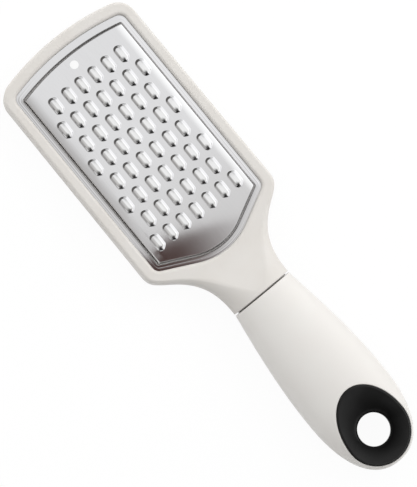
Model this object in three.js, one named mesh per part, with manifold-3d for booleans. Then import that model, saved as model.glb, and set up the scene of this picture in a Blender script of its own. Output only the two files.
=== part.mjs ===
// Coarse hand grater: a toothed steel plate in a moulded frame, on a rounded handle with a hanging eyelet.
// Sizes are millimetres. The grater lies on its back: +Y runs to the top of the head, +Z out of the teeth.

import * as THREE from 'three';
import { mergeGeometries, mergeVertices } from 'three/addons/utils/BufferGeometryUtils.js';
import Module from 'manifold-3d';

const wasm = await Module();
wasm.setup();

// Head and its window
const headWidth = 68.4;
const headDepth = 10;
const headTopRadius = 112;
const headCornerRadius = 8.9;
const shoulderFlare = 0.6; // how far each side leans out between the top corner and the shoulder
const edgeRound = 1.8;
const sideRim = 5.1; // frame beside the window
const topRim = 6; // frame above the window
const windowLength = 108.65;
const windowTopRadius = 113;
const windowCornerRadius = 3.5;
const windowFootRadius = 29;
const windowFootAngle = THREE.MathUtils.degToRad(26.6); // slope of the window's lower edges
const lipThickness = 1.7;
const retainerWidth = 3;

// Neck, from the window's foot to the groove
const neckLength = 23.6;
const neckWidth = 29.3;
const neckThickness = 17;
const neckStraight = 2.25; // parallel stretch next to the groove
const shoulderRise = 8.65; // corner of the shoulder above the window's foot
const shoulderRound = 5.5; // length of the head's side taken up by the shoulder's curve
const shoulderSlope = THREE.MathUtils.degToRad(35.4); // fall of the side between shoulder and neck
const slopeLength = 8.65; // along that fall, from the shoulder's corner to where the curve turns hollow
const facetEndWidth = 0.8; // width left of the flat front where the neck meets the groove
const facetTaper = 3.3; // power by which the flat front narrows along the neck

// Groove, tang and the pegs through it
const grooveWidth = 0.75;
const coreWidth = 26;
const coreThickness = 14;
const tangWidth = 16;
const tangThickness = 6;
const tangEndWall = 12; // handle left between the tang and the eyelet
const pegDiameter = 5;
const pegSetback = 9; // from each end of the tang to its peg
const pegSocketDepth = 3;

// Handle, two half shells that meet at the grater's middle plane
const handleLength = 91;
const handleWidth = 40.3;
const handleThickness = 22;
const handleEndLength = 35.5; // from the widest place to the tip
const handleEndPower = 2.33; // squareness of the rounded end
const handleSeam = 0.2;

// Eyelet, an egg-shaped dish with a round hole, wider end towards the tip
const eyeletWidth = 29.3;
const eyeletNoseLength = 21.6; // from its widest place towards the head
const eyeletEndLength = 14.8; // from its widest place towards the tip
const eyeletTipWall = 1.4; // handle left at the tip
const eyeletRim = 0.7;
const dishPower = 1.6; // above 1 the dish falls steeply at its rim and flattens at the hole
const hangHoleDiameter = 14.4;
const hangHoleShift = 1.2; // from the eyelet's widest place towards the head
const hangHoleLand = 6; // straight wall of the hole, both halves together
const sleeveWall = 1.6;
const sleeveDepth = 2;

// Plate, pressed from one sheet
const sheet = 0.6;
const flangeOverlap = 1.8; // flange hidden under the frame's lip
const flangeStrip = 3; // flange seen round the raised centre
const flangeTopStrip = 3.5; // the same strip at the top
const plateStep = 2;
const plateCornerRadius = 0.6;
const pilotHoleDiameter = 3.3;
const pilotHoleDrop = 4.9; // from the top of the raised centre

// Teeth, long scoops that rise from the sheet and open in a crescent towards the handle
const toothWidth = 4.3;
const toothLength = 7.9;
const toothHeight = 1.5;
const toothMouth = 1; // how far the scoop's lip stands back from the end of its hole
const toothWall = 0.45;
const toothPitchAcross = 7.1;
const toothPitchAlong = 10.15;
const firstRowDrop = 13.4; // from the top of the raised centre to the first row
const toothMargin = 2.5; // plain sheet kept beside and below the teeth

// Fits and mesh fineness
const fitGap = 0.2;
const cutMargin = 2; // how far a cutter or a joined piece runs past a face
const weldDistance = 1e-4;
const curveSteps = 6;
const edgeSteps = 4;
const handleSteps = 11;
const girthSteps = 18;
const eggSteps = 36;
const dishSteps = 4;
const roundSteps = 12;
const toothSides = 8;
const toothEndSteps = 2;
const toothCurveSteps = 3;

// How far each rounded corner of an outline is drawn towards its point
const windowCornerPull = 0.56;
const headCornerPull = 0.6;
const shoulderPull = 0.88;
const neckPull = 0.72;

// Places along the grater
const overallLength = topRim + windowLength + neckLength + grooveWidth + handleLength;
const headTopY = overallLength / 2;
const windowTopY = headTopY - topRim;
const windowFootY = windowTopY - windowLength;
const shoulderY = windowFootY + shoulderRise;
const neckTopY = shoulderY + shoulderRound;
const neckEndY = windowFootY - neckLength;
const handleTopY = neckEndY - grooveWidth;
const handleTipY = handleTopY - handleLength;
const bulgeY = handleTipY + handleEndLength;
const eyeletY = handleTipY + eyeletTipWall + eyeletEndLength;
const hangHoleY = eyeletY + hangHoleShift;
const tangTopY = neckEndY + cutMargin;
const tangEndY = eyeletY + eyeletNoseLength + tangEndWall;
const pegYs = [handleTopY - pegSetback, tangEndY + pegSetback];

// Places through the grater
const middleZ = handleThickness / 2;
const frontZ = middleZ + headDepth / 2;
const backZ = middleZ - headDepth / 2;
const lipZ = frontZ - lipThickness;
const flangeTopZ = lipZ - fitGap;
const plateauZ = flangeTopZ + plateStep;
const aboveZ = handleThickness + cutMargin;
const belowZ = -cutMargin;

// Finishes
const frameFinish = { color: 0xd8d3ca, roughness: 0.55, metalness: 0 };
const steelFinish = { color: 0xc8cacd, roughness: 0.28, metalness: 1 };
const handleFinish = { color: 0xe9e7e2, roughness: 0.4, metalness: 0 };
const eyeletFinish = { color: 0x1b1a1b, roughness: 0.6, metalness: 0 };

// Closed solid from a geometry, with shared vertices merged and empty triangles dropped.
function solid(geometry) {
  const bare = geometry.clone();
  bare.deleteAttribute('normal');
  bare.deleteAttribute('uv');
  const merged = mergeVertices(bare, weldDistance);
  const index = merged.index.array;
  const kept = [];
  for (let i = 0; i < index.length; i += 3) {
    const [a, b, c] = index.slice(i, i + 3);
    if (a !== b && b !== c && c !== a) {
      kept.push(a, b, c);
    }
  }
  const vertProperties = merged.attributes.position.array;
  const triVerts = Uint32Array.from(kept);
  return new wasm.Manifold(new wasm.Mesh({ numProp: 3, vertProperties, triVerts }));
}

// Geometry of a solid, with positions and triangles only.
function geometryOf(body) {
  const { vertProperties, triVerts } = body.getMesh();
  const geometry = new THREE.BufferGeometry();
  geometry.setAttribute('position', new THREE.BufferAttribute(Float32Array.from(vertProperties), 3));
  geometry.setIndex(new THREE.BufferAttribute(Uint32Array.from(triVerts), 1));
  return geometry;
}

// Named mesh of one piece.
function piece(name, body, finish) {
  const geometry = geometryOf(body);
  geometry.computeVertexNormals();
  const mesh = new THREE.Mesh(geometry, new THREE.MeshStandardMaterial(finish));
  mesh.name = name;
  return mesh;
}

// Skin over a row of rings with equal point counts. Each ring turns anticlockwise seen from the last one.
function loft(rings, capFirst, capLast) {
  const corners = [];
  const fan = (ring, forward) => {
    const total = ring.reduce((sum, point) => sum.add(point), new THREE.Vector3());
    const centre = total.divideScalar(ring.length);
    ring.forEach((point, i) => {
      const next = ring[(i + 1) % ring.length];
      corners.push(centre, ...(forward ? [point, next] : [next, point]));
    });
  };
  if (capFirst) {
    fan(rings[0], false);
  }
  for (let r = 0; r + 1 < rings.length; r += 1) {
    const here = rings[r];
    const there = rings[r + 1];
    for (let i = 0; i < here.length; i += 1) {
      const n = (i + 1) % here.length;
      corners.push(here[i], here[n], there[n], here[i], there[n], there[i]);
    }
  }
  if (capLast) {
    fan(rings[rings.length - 1], true);
  }
  return new THREE.BufferGeometry().setFromPoints(corners);
}

// The same skin on the other side of the middle plane, turned so that its faces still point out.
function backTwin(geometry) {
  const twin = geometry.clone().scale(1, 1, -1).translate(0, 0, 2 * middleZ);
  const position = twin.attributes.position;
  const second = new THREE.Vector3();
  const third = new THREE.Vector3();
  for (let i = 0; i < position.count; i += 3) {
    second.fromBufferAttribute(position, i + 1);
    third.fromBufferAttribute(position, i + 2);
    position.setXYZ(i + 1, third.x, third.y, third.z);
    position.setXYZ(i + 2, second.x, second.y, second.z);
  }
  return twin;
}

// Straight-sided geometry of a shape between two heights.
function column(shape, lowZ, highZ, curveSegments) {
  const settings = { depth: highZ - lowZ, bevelEnabled: false, curveSegments };
  return new THREE.ExtrudeGeometry(shape, settings).translate(0, 0, lowZ);
}

function prism(shape, lowZ, highZ) {
  return solid(column(shape, lowZ, highZ, curveSteps));
}

// Round solid that stands along Z.
function post(radius, y, lowZ, highZ) {
  const shape = new THREE.Shape().absarc(0, y, radius, 0, 2 * Math.PI, false);
  return solid(column(shape, lowZ, highZ, roundSteps));
}

function rectangle(width, lowY, highY) {
  const half = width / 2;
  const corners = [[-half, lowY], [half, lowY], [half, highY], [-half, highY]];
  return new THREE.Shape(corners.map(([x, y]) => new THREE.Vector2(x, y)));
}

// Rounded corner of an outline, from where the outline is to an end, drawn towards the corner's point.
function turnTo(path, corner, end, pull) {
  const leave = path.currentPoint.clone().lerp(corner, pull);
  const arrive = end.clone().lerp(corner, pull);
  path.bezierCurveTo(leave.x, leave.y, arrive.x, arrive.y, end.x, end.y);
}

// Outline of the window, drawn in by an inset all round and by another at the top.
function windowShape(inset, topInset, cornerRadius) {
  const half = headWidth / 2 - sideRim - inset;
  const topRadius = windowTopRadius - inset;
  const topCentreY = windowTopY - topInset - topRadius;
  const topAngle = Math.asin(half / topRadius);
  const topY = topCentreY + topRadius * Math.cos(topAngle);
  const topTurn = cornerRadius * Math.tan((Math.PI / 2 - topAngle) / 2);
  const topArc = topAngle - topTurn / topRadius;
  const footRadius = windowFootRadius - inset;
  const footCentreY = windowFootY + inset + footRadius;
  const footY = windowSideFoot(inset);
  const footTurn = cornerRadius * Math.tan((Math.PI / 2 - windowFootAngle) / 2);
  const slopeX = footTurn * Math.cos(windowFootAngle);
  const slopeY = footTurn * Math.sin(windowFootAngle);
  const arcX = topRadius * Math.sin(topArc);
  const arcY = topCentreY + topRadius * Math.cos(topArc);
  const down = -Math.PI / 2;
  const up = Math.PI / 2;
  const at = (x, y) => new THREE.Vector2(x, y);
  const shape = new THREE.Shape();
  shape.absarc(0, footCentreY, footRadius, down - windowFootAngle, down + windowFootAngle, false);
  shape.lineTo(half - slopeX, footY - slopeY);
  turnTo(shape, at(half, footY), at(half, footY + footTurn), windowCornerPull);
  shape.lineTo(half, topY - topTurn);
  turnTo(shape, at(half, topY), at(arcX, arcY), windowCornerPull);
  shape.absarc(0, topCentreY, topRadius, up - topArc, up + topArc, false);
  turnTo(shape, at(-half, topY), at(-half, topY - topTurn), windowCornerPull);
  shape.lineTo(-half, footY + footTurn);
  turnTo(shape, at(-half, footY), at(slopeX - half, footY - slopeY), windowCornerPull);
  shape.closePath();
  return shape;
}

// Height at which the window's sides meet its sloping lower edges.
function windowSideFoot(inset) {
  const half = headWidth / 2 - sideRim - inset;
  const footRadius = windowFootRadius - inset;
  const slopeStartX = footRadius * Math.sin(windowFootAngle);
  const slopeStartY = windowFootY + inset + footRadius * (1 - Math.cos(windowFootAngle));
  return slopeStartY + (half - slopeStartX) * Math.tan(windowFootAngle);
}

// Outline that keeps the window's form, moved out by a distance.
function grownWindow(grow) {
  return windowShape(-grow, -grow, windowCornerRadius + grow);
}

// Right-hand outline of the frame, from the middle of its top to the end of its neck.
function frameSide() {
  const half = headWidth / 2;
  const topCentreY = headTopY - headTopRadius;
  const topAngle = Math.asin(half / headTopRadius);
  const cornerY = topCentreY + headTopRadius * Math.cos(topAngle);
  const cornerTurn = headCornerRadius * Math.tan((Math.PI / 2 - topAngle) / 2);
  const topArc = topAngle - cornerTurn / headTopRadius;
  const up = Math.PI / 2;
  const headCorner = new THREE.Vector2(half, cornerY);
  const sideStart = new THREE.Vector2(half, cornerY - cornerTurn);
  const shoulder = new THREE.Vector2(half + shoulderFlare, shoulderY);
  const fall = new THREE.Vector2(-Math.cos(shoulderSlope), -Math.sin(shoulderSlope));
  const hollowStart = shoulder.clone().addScaledVector(fall, slopeLength);
  const neckX = neckWidth / 2;
  const neckCorner = new THREE.Vector2(neckX, shoulder.y - (shoulder.x - neckX) * Math.tan(shoulderSlope));
  const neckStart = new THREE.Vector2(neckX, neckEndY + neckStraight);
  const side = new THREE.Path();
  side.absarc(0, topCentreY, headTopRadius, up, up - topArc, true);
  turnTo(side, headCorner, sideStart, headCornerPull);
  side.lineTo(shoulder.x, neckTopY);
  turnTo(side, shoulder, hollowStart, shoulderPull);
  turnTo(side, neckCorner, neckStart, neckPull);
  side.lineTo(neckX, neckEndY);
  return side.getPoints(curveSteps);
}

// Cross ring of the frame at one point of its side. The rounded edge of the head widens down the neck,
// until the section at the groove is a full ellipse.
function frameRing(point, outward) {
  const neckShare = THREE.MathUtils.clamp((neckTopY - point.y) / (neckTopY - neckEndY), 0, 1);
  const footShare = THREE.MathUtils.clamp((windowFootY - point.y) / neckLength, 0, 1);
  const widening = neckShare ** facetTaper;
  const edgeWidth = THREE.MathUtils.lerp(edgeRound, (neckWidth - facetEndWidth) / 2, widening);
  const swell = THREE.MathUtils.smoothstep(footShare, 0, 1);
  const halfDepth = THREE.MathUtils.lerp(headDepth, neckThickness, swell) / 2;
  const edgeDepth = THREE.MathUtils.lerp(edgeRound, halfDepth, THREE.MathUtils.smoothstep(neckShare, 0, 1));
  const across = new THREE.Vector2(1, 0);
  const inward = outward.clone().lerp(across, THREE.MathUtils.smoothstep(neckShare, 0, 1)).normalize();
  const right = [];
  for (const facing of [1, -1]) {
    for (let k = 0; k <= edgeSteps; k += 1) {
      const turn = (facing > 0 ? edgeSteps - k : k) / edgeSteps * Math.PI / 2;
      const inset = edgeWidth * (1 - Math.cos(turn));
      const height = halfDepth - edgeDepth + edgeDepth * Math.sin(turn);
      const x = point.x - inset * inward.x;
      const y = point.y - inset * inward.y;
      right.push(new THREE.Vector3(x, y, middleZ + facing * height));
    }
  }
  const left = right.map(({ x, y, z }) => new THREE.Vector3(-x, y, z));
  return [...left, ...right.reverse()];
}

function frameBody() {
  const points = frameSide();
  const rings = points.map((point, i) => {
    const before = i > 0 ? points[i - 1] : new THREE.Vector2(-points[1].x, points[1].y);
    const after = points[Math.min(i + 1, points.length - 1)];
    const along = after.clone().sub(before).normalize();
    return frameRing(point, new THREE.Vector2(-along.y, along.x));
  });
  return solid(loft(rings, false, true));
}

// Frame with its window, the rebate behind the lip, the core seen in the groove, and the tang.
function headFrame() {
  const coreEndY = handleTopY + fitGap;
  const coreLength = tangTopY - coreEndY;
  const core = new THREE.CylinderGeometry(1, 1, coreLength, 2 * roundSteps);
  core.scale(coreWidth / 2, 1, coreThickness / 2).translate(0, coreEndY + coreLength / 2, middleZ);
  const tangHalf = tangThickness / 2;
  let tang = prism(rectangle(tangWidth, tangEndY, tangTopY), middleZ - tangHalf, middleZ + tangHalf);
  for (const y of pegYs) {
    tang = tang.subtract(post(pegDiameter / 2 + fitGap, y, belowZ, aboveZ));
  }
  return frameBody()
    .subtract(prism(grownWindow(0), belowZ, aboveZ))
    .subtract(prism(grownWindow(flangeOverlap + fitGap), belowZ, lipZ))
    .add(solid(core))
    .add(tang);
}

// Ring behind the plate's flange, flush with the frame's back.
function plateRetainer() {
  const ring = grownWindow(flangeOverlap);
  ring.holes.push(grownWindow(flangeOverlap - retainerWidth));
  return prism(ring, backZ, flangeTopZ - sheet - fitGap);
}

// Centres of the teeth: staggered rows, as many as the raised centre holds.
function toothCentres() {
  const plateauHalf = headWidth / 2 - sideRim - flangeStrip;
  const reachX = plateauHalf - toothMargin - toothWidth / 2;
  const firstY = windowTopY - flangeTopStrip - firstRowDrop;
  const lastY = windowSideFoot(flangeStrip) + toothMargin + toothLength / 2;
  const centres = [];
  for (let row = 0; firstY - row * toothPitchAlong >= lastY; row += 1) {
    const y = firstY - row * toothPitchAlong;
    const startX = row % 2 === 0 ? toothPitchAcross / 2 : 0;
    for (let x = startX; x <= reachX; x += toothPitchAcross) {
      centres.push([x, y]);
      if (x > 0) {
        centres.push([-x, y]);
      }
    }
  }
  return centres;
}

// Plan outline of a slot with round ends, moved along the grater.
function slotShape(width, length, shiftY) {
  const radius = width / 2;
  const reach = length / 2 - radius;
  const shape = new THREE.Shape();
  shape.absarc(0, shiftY + reach, radius, 0, Math.PI, false);
  shape.absarc(0, shiftY - reach, radius, Math.PI, 2 * Math.PI, false);
  shape.closePath();
  return shape;
}

// Flattened capsule along Y, the outside or the inside of a tooth. It is closed and round towards the head.
// Towards the handle it runs on past the tooth, and a slot cuts it off with a round end.
function blister(width, endY, centreZ, slot) {
  const capsule = new THREE.CapsuleGeometry(width / 2, toothLength, toothEndSteps, toothSides);
  const centreY = endY - (toothLength + width) / 2;
  capsule.scale(1, 1, toothHeight / (width / 2)).translate(0, centreY, centreZ);
  return solid(capsule).intersect(solid(column(slot, belowZ, aboveZ, toothCurveSteps)));
}

// Copies of one solid at every tooth.
function atTeeth(body) {
  const geometry = geometryOf(body);
  return solid(mergeGeometries(toothCentres().map(([x, y]) => geometry.clone().translate(x, y, 0))));
}

// Sheet with its flange, raised centre, pilot hole and teeth. The outside of a tooth ends in a lip that
// stands back from the end of the hole, so its mouth is a crescent.
function graterPlate() {
  const plateau = windowShape(flangeStrip, flangeTopStrip, plateCornerRadius);
  const hollow = windowShape(flangeStrip + sheet, flangeTopStrip + sheet, plateCornerRadius);
  const endY = toothLength / 2;
  const lip = slotShape(toothWidth + sheet, toothLength + sheet, toothMouth + sheet / 2);
  const hole = slotShape(toothWidth, toothLength, 0);
  const pilotHoleY = windowTopY - flangeTopStrip - pilotHoleDrop;
  return prism(grownWindow(flangeOverlap), flangeTopZ - sheet, flangeTopZ)
    .add(prism(plateau, flangeTopZ - sheet, plateauZ))
    .add(atTeeth(blister(toothWidth, endY, plateauZ, lip)))
    .subtract(prism(hollow, belowZ, plateauZ - sheet))
    .subtract(atTeeth(blister(toothWidth - 2 * toothWall, endY - toothWall, plateauZ - sheet, hole)))
    .subtract(post(pilotHoleDiameter / 2, pilotHoleY, belowZ, aboveZ));
}

// Half width and half thickness of the handle at a place along it.
function handleGirth(y) {
  if (y >= bulgeY) {
    const swell = Math.sin((handleTopY - y) / (handleTopY - bulgeY) * Math.PI / 2);
    const halfWidth = THREE.MathUtils.lerp(neckWidth, handleWidth, swell) / 2;
    const halfThickness = THREE.MathUtils.lerp(neckThickness, handleThickness, swell) / 2;
    return { halfWidth, halfThickness };
  }
  const share = Math.min((bulgeY - y) / handleEndLength, 1);
  const taper = (1 - share ** handleEndPower) ** (1 / handleEndPower);
  return { halfWidth: taper * handleWidth / 2, halfThickness: taper * handleThickness / 2 };
}

// Height of the handle's front surface above the seam, at a point of its plan.
function handleRise(x, y) {
  const { halfWidth, halfThickness } = handleGirth(y);
  const share = Math.min(Math.abs(x) / halfWidth, 1);
  return Math.max(halfThickness - handleSeam / 2, 0) * Math.sqrt(1 - share ** 2);
}

// Front half of the handle as a plain closed skin.
function handleHalf() {
  const seamZ = middleZ + handleSeam / 2;
  const ys = [];
  for (let i = 0; i < handleSteps; i += 1) {
    ys.push(THREE.MathUtils.lerp(handleTopY, bulgeY, i / handleSteps));
  }
  for (let i = 0; i <= handleSteps; i += 1) {
    ys.push(bulgeY - handleEndLength * Math.sin(i / handleSteps * Math.PI / 2));
  }
  const rings = ys.map((y) => {
    const { halfWidth, halfThickness } = handleGirth(y);
    const rise = Math.max(halfThickness - handleSeam / 2, 0);
    const ring = [];
    for (let i = 0; i <= girthSteps; i += 1) {
      const turn = i / girthSteps * Math.PI;
      ring.push(new THREE.Vector3(halfWidth * Math.cos(turn), y, seamZ + rise * Math.sin(turn)));
    }
    return ring;
  });
  return loft(rings, true, false);
}

// Outline of the eyelet, moved out by a distance.
function eyeletShape(grow) {
  const half = eyeletWidth / 2 + grow;
  const shape = new THREE.Shape();
  shape.absellipse(0, eyeletY, half, eyeletNoseLength + grow, 0, Math.PI, false, 0);
  shape.absellipse(0, eyeletY, half, eyeletEndLength + grow, Math.PI, 2 * Math.PI, false, 0);
  shape.closePath();
  return shape;
}

// Cutter for the dish in the front of the eyelet, from the handle's surface down through the hole.
function dish() {
  const holeRadius = hangHoleDiameter / 2;
  const seamZ = middleZ + handleSeam / 2;
  const landZ = middleZ + hangHoleLand / 2;
  const rim = (turn) => {
    const length = Math.sin(turn) > 0 ? eyeletNoseLength : eyeletEndLength;
    const x = (eyeletWidth / 2 - eyeletRim) * Math.cos(turn);
    return new THREE.Vector2(x, eyeletY + (length - eyeletRim) * Math.sin(turn));
  };
  const hole = (turn) => {
    const x = holeRadius * Math.cos(turn);
    return new THREE.Vector2(x, hangHoleY + holeRadius * Math.sin(turn));
  };
  const ring = (share, height) => {
    const points = [];
    for (let i = 0; i < eggSteps; i += 1) {
      const turn = i / eggSteps * 2 * Math.PI;
      const edge = rim(turn);
      const plan = edge.clone().lerp(hole(turn), share);
      points.push(new THREE.Vector3(plan.x, plan.y, height(edge)));
    }
    return points;
  };
  const rings = [ring(1, () => belowZ)];
  for (let k = dishSteps; k >= 0; k -= 1) {
    const share = k / dishSteps;
    const fall = 1 - (1 - share) ** dishPower;
    const height = (edge) => THREE.MathUtils.lerp(seamZ + handleRise(edge.x, edge.y), landZ, fall);
    rings.push(ring(share, height));
  }
  rings.push(ring(0, () => aboveZ));
  return loft(rings, true, true);
}

// Handle shell with the pockets for the tang and the eyelet.
function handleShell(skin) {
  const slot = rectangle(tangWidth + 2 * fitGap, tangEndY - fitGap, handleTopY + cutMargin);
  const slotHalf = tangThickness / 2 + fitGap;
  return solid(skin)
    .subtract(prism(slot, middleZ - slotHalf, middleZ + slotHalf))
    .subtract(prism(eyeletShape(fitGap), belowZ, aboveZ));
}

// Front shell, with pegs that pass through the tang into the back shell.
function handleFront() {
  const rootZ = middleZ + tangThickness / 2 + cutMargin;
  const endZ = middleZ - tangThickness / 2 - pegSocketDepth;
  const peg = (y) => post(pegDiameter / 2, y, endZ, rootZ);
  return pegYs.reduce((shell, y) => shell.add(peg(y)), handleShell(handleHalf()));
}

// Back shell, with a socket for each peg.
function handleBack() {
  const floorZ = middleZ - tangThickness / 2 - pegSocketDepth - fitGap;
  const socket = (y) => post(pegDiameter / 2 + fitGap, y, floorZ, middleZ);
  return pegYs.reduce((shell, y) => shell.subtract(socket(y)), handleShell(backTwin(handleHalf())));
}

// Front half of the eyelet, with the sleeve that enters the back half.
function eyeletFront() {
  const sleeveRadius = hangHoleDiameter / 2 + sleeveWall;
  const sleeve = new THREE.Shape().absarc(0, hangHoleY, sleeveRadius, 0, 2 * Math.PI, false);
  const landZ = middleZ + hangHoleLand / 2;
  return solid(handleHalf())
    .intersect(prism(eyeletShape(0), belowZ, aboveZ))
    .add(prism(sleeve, middleZ - sleeveDepth, landZ))
    .subtract(solid(dish()));
}

// Back half of the eyelet, with the counterbore for the sleeve.
function eyeletBack() {
  const boreRadius = hangHoleDiameter / 2 + sleeveWall + fitGap;
  return solid(backTwin(handleHalf()))
    .intersect(prism(eyeletShape(0), belowZ, aboveZ))
    .subtract(solid(backTwin(dish())))
    .subtract(post(boreRadius, hangHoleY, middleZ - sleeveDepth - fitGap, middleZ));
}

const grater = new THREE.Group();
grater.add(
  piece('head_frame', headFrame(), frameFinish),
  piece('plate_retainer', plateRetainer(), frameFinish),
  piece('grater_plate', graterPlate(), steelFinish),
  piece('handle_front', handleFront(), handleFinish),
  piece('handle_back', handleBack(), handleFinish),
  piece('eyelet_front', eyeletFront(), eyeletFinish),
  piece('eyelet_back', eyeletBack(), eyeletFinish),
);

export default grater;
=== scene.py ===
# Looks of a coarse hand grater, built around its packed construction.
# Metres, +Y to the top of the head, +Z out of the grating face.
import math

import bmesh
import bpy
from mathutils import Matrix, Vector
from mathutils.geometry import delaunay_2d_cdt


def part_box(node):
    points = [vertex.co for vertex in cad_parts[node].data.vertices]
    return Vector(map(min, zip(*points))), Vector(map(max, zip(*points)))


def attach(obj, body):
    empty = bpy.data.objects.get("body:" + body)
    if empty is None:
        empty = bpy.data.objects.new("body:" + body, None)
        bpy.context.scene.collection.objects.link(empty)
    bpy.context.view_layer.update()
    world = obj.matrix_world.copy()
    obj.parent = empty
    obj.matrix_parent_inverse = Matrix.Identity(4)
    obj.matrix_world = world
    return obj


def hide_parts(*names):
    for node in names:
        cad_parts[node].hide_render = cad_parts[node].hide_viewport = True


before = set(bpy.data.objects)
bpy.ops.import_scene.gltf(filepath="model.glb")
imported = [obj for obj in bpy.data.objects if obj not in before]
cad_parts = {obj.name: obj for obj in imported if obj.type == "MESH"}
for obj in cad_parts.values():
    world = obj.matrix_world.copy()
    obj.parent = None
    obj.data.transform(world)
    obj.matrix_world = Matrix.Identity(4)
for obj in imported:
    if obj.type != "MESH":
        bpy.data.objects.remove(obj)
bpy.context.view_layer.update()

MM = 0.001

# Head and its window
HEAD_WIDTH = 68.4 * MM
HEAD_TOP_RADIUS = 112 * MM
HEAD_CORNER_RADIUS = 8.9 * MM
SHOULDER_FLARE = 0.6 * MM
EDGE_ROUND = 1.3 * MM
SIDE_RIM = 4.75 * MM
TOP_RIM = 5.7 * MM
WINDOW_LENGTH = 108.95 * MM
WINDOW_TOP_RADIUS = 113 * MM
WINDOW_CORNER_RADIUS = 3.5 * MM
WINDOW_FOOT_RADIUS = 29 * MM
WINDOW_FOOT_ANGLE = math.radians(26.6)
LIP_THICKNESS = 1.7 * MM
LIP_ROUND = 1.4 * MM
RETAINER_WIDTH = 3 * MM
RETAINER_CHAMFER = 0.4 * MM

# Neck, from the window's foot to the groove
NECK_WIDTH = 29.3 * MM
NECK_THICKNESS = 17 * MM
NECK_STRAIGHT = 2.25 * MM
SHOULDER_RISE = 8.65 * MM
SHOULDER_ROUND = 5.5 * MM
SHOULDER_SLOPE = math.radians(35.4)
SLOPE_LENGTH = 8.65 * MM
FACET_END_WIDTH = 0.8 * MM
FACET_TAPER = 3.3
NECK_CREASE = math.radians(36)  # angle of the soft edge between the neck's front and its flank

# Groove, core and tang
GROOVE = 0.75 * MM
CORE_WIDTH = 25.7 * MM
CORE_THICKNESS = 12.5 * MM
TANG_WIDTH = 16 * MM
TANG_THICKNESS = 6 * MM
TANG_SQUARENESS = 0.25  # power that squares an ellipse into the tang's section
END_ROUND = 0.22 * MM  # rounding of the two ends that face each other across the groove

# Handle
HANDLE_WIDTH = 40.3 * MM
HANDLE_THICKNESS = 22 * MM
HANDLE_END_LENGTH = 35.5 * MM
HANDLE_END_POWER = 2.33
HANDLE_SEAM = 0.2 * MM
GRIP_MARGIN = 5 * MM  # grip kept above the eyelet
TANG_SLOT_HALF = 9.4 * MM

# Eyelet
EYELET_WIDTH = 29.3 * MM
EYELET_NOSE = 21.6 * MM
EYELET_END = 14.8 * MM
EYELET_TIP_WALL = 1.4 * MM
EYELET_RIM = 0.7 * MM
EYELET_ROUND = 0.3 * MM
EYELET_FLARE = 0.15 * MM  # the lining spreads towards the seam, which closes the joint round it
DISH_POWER = 0.8
HOLE_DIAMETER = 14.4 * MM
HOLE_SHIFT = 0.8 * MM
HOLE_LAND = 2.6 * MM
HOLE_ROUND = 0.6 * MM
POCKET_ROUND = 0.3 * MM

# Plate, pressed from one sheet
SHEET = 0.5 * MM
FLANGE_OVERLAP = 1.8 * MM
FLANGE_STRIP = 3 * MM
FLANGE_TOP_STRIP = 3.8 * MM
PLATE_STEP = 2 * MM
PLATE_CORNER_RADIUS = 0.6 * MM
STEP_TOP_ROUND = 0.42 * MM
STEP_FOOT_ROUND = 0.4 * MM
STEP_ANGLE = math.radians(62)
FLANGE_FALL = 0.06 * MM  # the flange slopes away from the raised centre
FLANGE_RIPPLE = 0.01 * MM  # faint drawing ridges that run round the flange
FLANGE_RIDGES = 2.5
PLATE_CROWN = 0.12 * MM
EDGE_ROLL = 0.12 * MM  # how far the raised centre falls towards its edge
EDGE_ROLL_WIDTH = 4 * MM
PILOT_DIAMETER = 3.7 * MM
PILOT_DROP = 4.7 * MM
PILOT_SIDE = -0.5 * MM
FILL_SPACING = 2.2 * MM
FLAT_RING = 0.12 * MM  # flat strip round each hole, tooth and edge, which keeps the sheet's shading flat

# Teeth
TOOTH_WIDTH = 3.65 * MM
TOOTH_LENGTH = 8.3 * MM
TOOTH_HEIGHT = 1.5 * MM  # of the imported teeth, from whose tops the sheet is placed
TOOTH_TOP_RISE = 0.38 * MM  # height of the scoop above the sheet at its upper end
TOOTH_LIP_RISE = 0.6 * MM  # and at its lip
TOOTH_SKIRT = 0.02 * MM  # how far the rise starts outside the tooth's size
TOOTH_LEAN = 0.9 * MM  # how much wider the tooth is on its right
TOOTH_LEAN_TURN = math.radians(-5)  # direction of the wider side at the upper end, from straight right
LOWER_LEAN_TURN = math.radians(12)  # and at the lower end
LEAN_POWER = 6
TOOTH_FLANK = 0.82 * MM  # plan width of the rise
TOOTH_TOP_FLANK = 1.3 * MM
TOOTH_RIGHT_FLANK = 1.2 * MM
TOOTH_LIP_FLANK = 0.75 * MM
TOOTH_BULGE = 0.15 * MM  # crown of the scoop's top
LIP_LEDGE = 0.25 * MM  # level edge of the lip
LIP_HEIGHT = 0.3 * MM
SLIT_WIDTH = 1.35 * MM  # gap below the scoop's lip
SLIT_TURN = math.radians(30)  # the cutting lip sits a little to one side
SLIT_SPAN = math.radians(72)
TOOTH_DIP = 1.6 * MM  # how far the sheet sinks below the lip
DIP_REACH = 0.35 * MM  # how far the sunk sheet goes on under the lip
TOOTH_PITCH_ACROSS = 7.1 * MM
TOOTH_PITCH_ALONG = 10.15 * MM
FIRST_ROW_DROP = 13.5 * MM
TOOTH_MARGIN = 2.5 * MM

# Fits
FIT_GAP = 0.2 * MM
WELD = 0.002 * MM
FILL_TOLERANCE = 0.00002 * MM
FILL_CLEARANCE = FILL_SPACING / 3  # kept round holes and teeth

# Corners of the outlines, each drawn towards its point
WINDOW_CORNER_PULL = 0.56
HEAD_CORNER_PULL = 0.6
SHOULDER_PULL = 0.88
NECK_PULL = 0.72

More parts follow.
